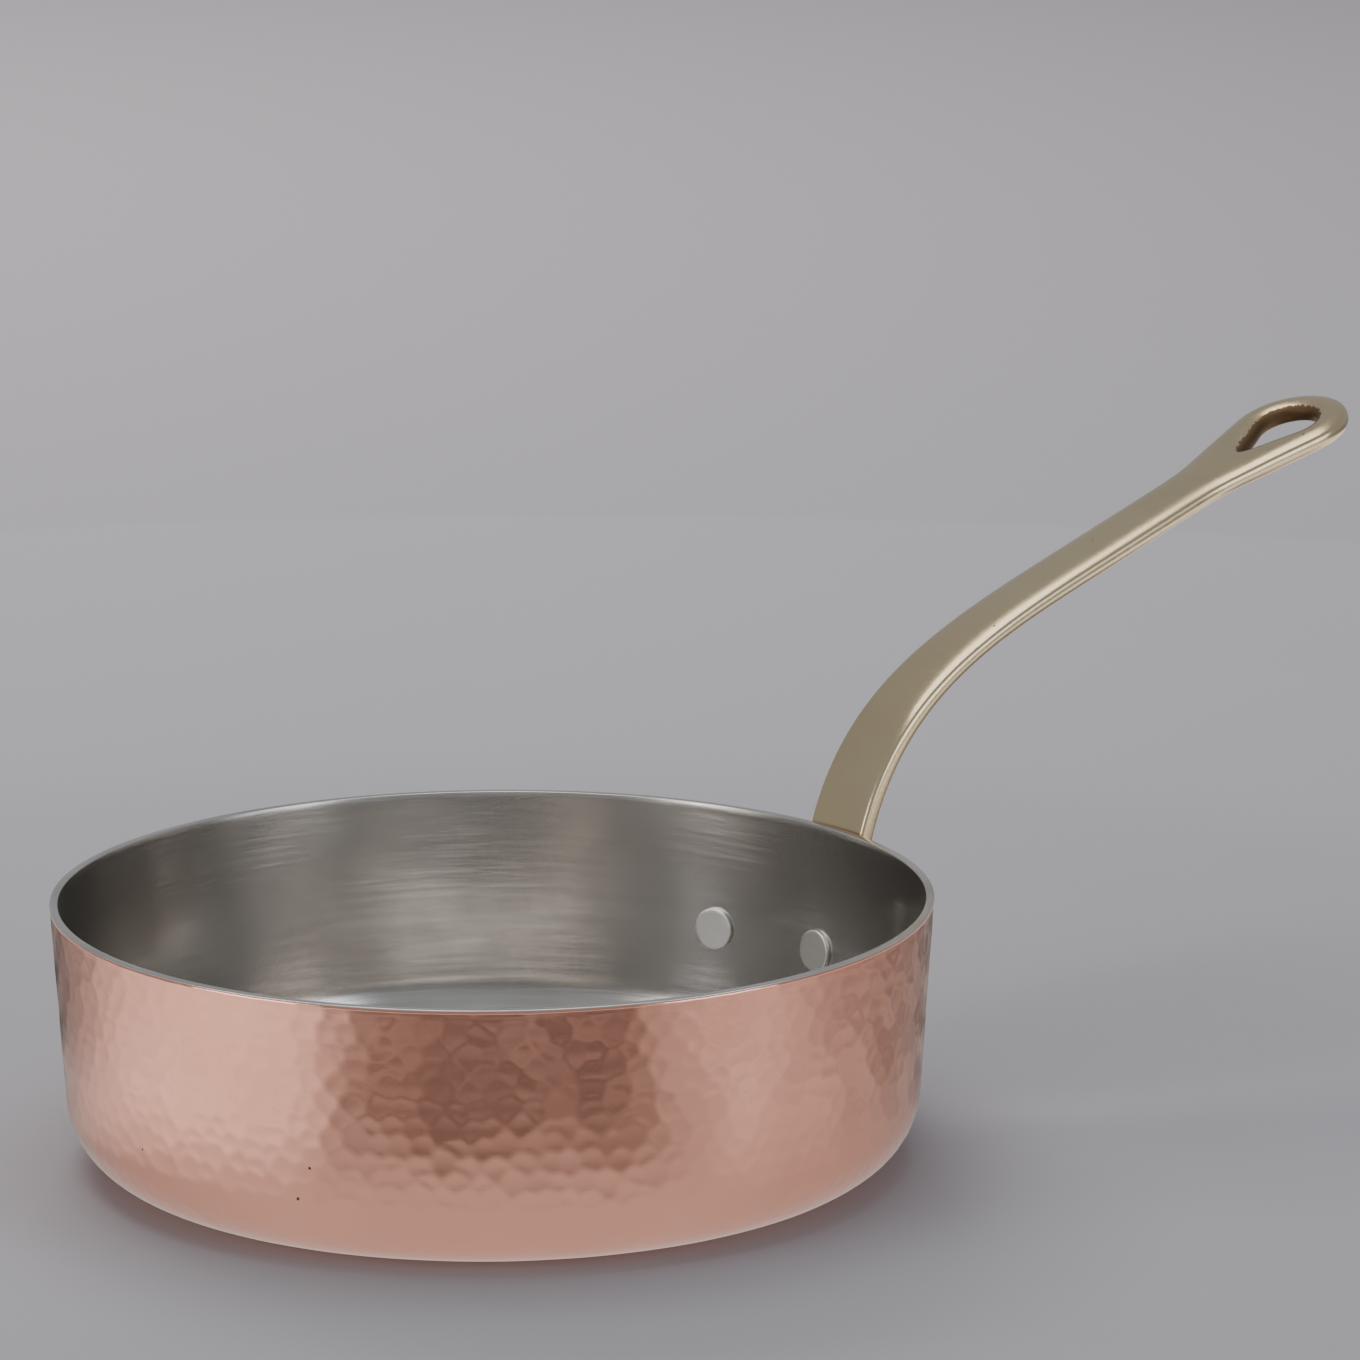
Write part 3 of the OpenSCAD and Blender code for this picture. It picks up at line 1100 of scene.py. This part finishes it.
    def dirt(self, point: Vector) -> float:
        """How much grime and painted shade a point of the cage gets: most just above the rim's height,
        near the wall, where the handle meets the rim.
        """
        above = abs(point.z - self.shape.height - self.dirt_middle) / self.dirt_height
        return self.dirt_depth * max(0.0, 1 - above) * (point.x < self.shape.rim_radius + self.dirt_reach)


@dataclass
class Studio:
    """A pale floor, soft lamps, a long-lens camera, and a card on the floor for the copper to mirror."""

    shape: PanShape
    heading: float = math.radians(37.5)
    elevation: float = math.radians(14.43)
    distance: float = 1.787
    lens: float = 174.0
    yaw: float = math.radians(1.65)
    tilt: float = math.radians(1.84)
    roll: float = math.radians(-0.55)
    floor_half: float = 14.0
    floor_grey: str = "#9c9fa6"
    sky_grey: str = "#d8dade"
    sky: float = 0.56
    card_radius: float = 0.9
    card_lift: float = 0.2 * MM
    card_sides: int = 64
    glow_close: tuple[float, float] = (0.225, 0.75)
    close_reach: tuple[float, float] = (-0.08, 0.1)
    glow_centre: float = 0.03
    glow_fade: tuple[float, float] = (0.125, 0.19)
    glow_far: float = 1.5
    far_fade: tuple[float, float] = (0.4, 0.5)
    cloud: float = 42 * MM
    uneven: float = 0.1
    glow: tuple[tuple[float, float], ...] = (
        *((-160, 0.12), (-132, 0.2), (-112, 0.4), (-94, 0.95), (-76, 1.45), (-50, 1.4), (-38, 1.25)),
        *((-30, 0.45), (-20, 0.32), (0, 0.3), (27, 0.24), (37, 0.7), (48, 0.95), (64, 0.88)),
        *((84, 0.5), (110, 0.34), (145, 0.2)),
    )

    def __post_init__(self) -> None:
        """Works out the level directions to the camera's right and away from it."""
        self.right = Vector((math.cos(self.heading), -math.sin(self.heading), 0))
        self.away = Vector((math.sin(self.heading), math.cos(self.heading), 0))

    def camera(self) -> None:
        """Sets up the camera, which looks at the rim's centre and is then turned a little."""
        data = bpy.data.cameras.new("camera")
        data.lens = self.lens
        data.sensor_width = 36.0
        data.clip_end = 60.0
        made = bpy.data.objects.new("camera", data)
        pose = Matrix.Translation((0, 0, self.shape.height)) @ Matrix.Rotation(-self.heading, 4, "Z")
        pose @= Matrix.Rotation(math.pi / 2 - self.elevation, 4, "X")
        pose @= Matrix.Translation((0, 0, self.distance))
        for turn, axis in ((-self.yaw, "Y"), (self.tilt, "X"), (self.roll, "Z")):
            pose @= Matrix.Rotation(turn, 4, axis)
        made.matrix_world = pose
        bpy.context.scene.collection.objects.link(made)
        bpy.context.scene.camera = made

    def place(self, right: float, near: float, z: float) -> Vector:
        """A point given from the camera's side: to its right of the pan, towards it, and height."""
        return self.right * right - self.away * near + Vector((0, 0, z))

    def floor(self) -> None:
        """Lays the plain pale floor."""
        h = self.floor_half
        corners = [Vector((x, y, 0)) for x, y in ((-h, -h), (h, -h), (h, h), (-h, h))]
        made = mesh_object("floor", corners, [[0, 1, 2, 3]])
        paper, add = blank_material("matt_grey_paper")
        face = {"Base Color": linear(self.floor_grey), "Roughness": 0.9, "Specular IOR Level": 0.1}
        add("OutputMaterial", add("BsdfPrincipled", named=face))
        dress(made, paper)

    def glow_card(self) -> None:
        """Lays a round card on the floor that only mirror-like surfaces see, brighter to some sides."""
        turns = [2 * math.pi * k / self.card_sides for k in range(self.card_sides)][::-1]
        wide = self.card_radius
        edge = [self.place(wide * math.sin(a), wide * math.cos(a), self.card_lift) for a in turns]
        made = mesh_object("glow_card", edge, [list(range(self.card_sides))])
        glow, add = blank_material("soft_glow")
        place = add("TexCoord", out="Object")
        near, right = [
            add("VectorMath DOT_PRODUCT", place, tuple(way), out="Value")
            for way in (-self.away, self.right)
        ]
        level = add("CombineXYZ", near, right, 0.0)
        angle = add("TexGradient", level, gradient_type="RADIAL", out="Fac")
        profile = add("ValToRGB", angle)
        ramp = profile.node.color_ramp
        ramp.interpolation = "B_SPLINE"
        top = max(strength for _, strength in self.glow)
        for degrees, strength in self.glow:
            ramp.elements.new(0.5 + degrees / 360).color = (*[strength / top] * 3, 1)
        ramp.elements.remove(ramp.elements[0])
        ramp.elements.remove(ramp.elements[-1])
        centred = add("VectorMath SUBTRACT", level, (self.glow_centre, 0, 0))
        from_pan, from_middle = [
            add("VectorMath LENGTH", spot, out="Value") for spot in (centred, level)
        ]
        fade = add("MapRange", from_pan, *self.glow_fade, 0.0, 1.0, interpolation_type="SMOOTHSTEP")
        cloud = add("TexNoise", place, named={"Scale": 1 / self.cloud, "Detail": 1.0})
        uneven = add("MapRange", cloud, 0.35, 0.65, -self.uneven, self.uneven)
        scaled = add("Math MULTIPLY_ADD", profile, top, uneven)
        close = add("MapRange", near, *self.close_reach, *self.glow_close)
        inner = add("Mix", fade, None, close, scaled)
        outer = add("MapRange", from_middle, *self.far_fade, 0.0, 1.0, interpolation_type="SMOOTHSTEP")
        strength = add("Mix", outer, None, inner, self.glow_far)
        add("OutputMaterial", add("Emission", linear("#fff8f4"), strength))
        dress(made, glow)
        for sight in ("camera", "diffuse", "shadow", "transmission"):
            setattr(made, "visible_" + sight, False)

    def lamp(self, name: str, spot: Vector, aim: Vector, size: float, power: float, tint: str) -> Object:
        """Hangs a square soft light.

        Args:
            name: the light's name.
            spot: where it hangs.
            aim: what it points at.
            size: length of its side.
            power: its power in watts.
            tint: its colour.

        Returns:
            The lamp.
        """
        data = bpy.data.lights.new(name, "AREA")
        data.size = size
        data.energy = power
        data.color = linear(tint)[:3]
        made = bpy.data.objects.new(name, data)
        made.location = spot
        made.rotation_euler = (aim - spot).to_track_quat("-Z", "Y").to_euler()
        bpy.context.scene.collection.objects.link(made)
        return made

    def build(self) -> None:
        """Sets up the camera, the floor and the light, the back lamp out of every reflection."""
        self.camera()
        self.floor()
        world = bpy.data.worlds.new("studio")
        world.use_nodes = True
        sky = world.node_tree.nodes["Background"]
        sky.inputs["Color"].default_value = linear(self.sky_grey)
        sky.inputs["Strength"].default_value = self.sky
        bpy.context.scene.world = world
        aim = Vector((0, 0, self.shape.height / 2))
        self.lamp("overhead", self.place(-0.1, -0.2, 1.7), aim, 1.3, 15.0, "#fffaf4")
        self.lamp("left", self.place(-1.7, 0.85, 0.6), aim, 1.0, 10.5, "#fff4ec")
        self.lamp("right", self.place(1.6, 1.0, 0.6), aim, 1.0, 8.0, "#f2f6ff")
        behind = self.place(-0.7, -2.3, 0)
        back = self.lamp("back", self.place(-0.7, -2.0, 1.9), behind, 1.6, 60.0, "#ffece6")
        back.visible_glossy = False
        self.glow_card()


def main() -> None:
    """Builds the saucepan and its studio, and reports each piece."""
    logging.basicConfig(level=logging.INFO, format="%(name)s %(message)s", stream=sys.stdout)
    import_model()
    shape = PanShape()
    hand_over(PanBody(shape).build(HammeredCopper().material()))
    hand_over(TinLining(shape).build(WipedTin().material()))
    hand_over(Handle(shape).build(CastBrass().material()))
    rivet_tin = WipedTin("tinned_rivet", "#f6f6f2", "#e4e4e0", (0.285, 0.456), 9 * MM)
    for rivet in Rivets(shape).build(rivet_tin.material()):
        hand_over(rivet)
    Studio(shape).build()


if __name__ == "__main__":
    main()
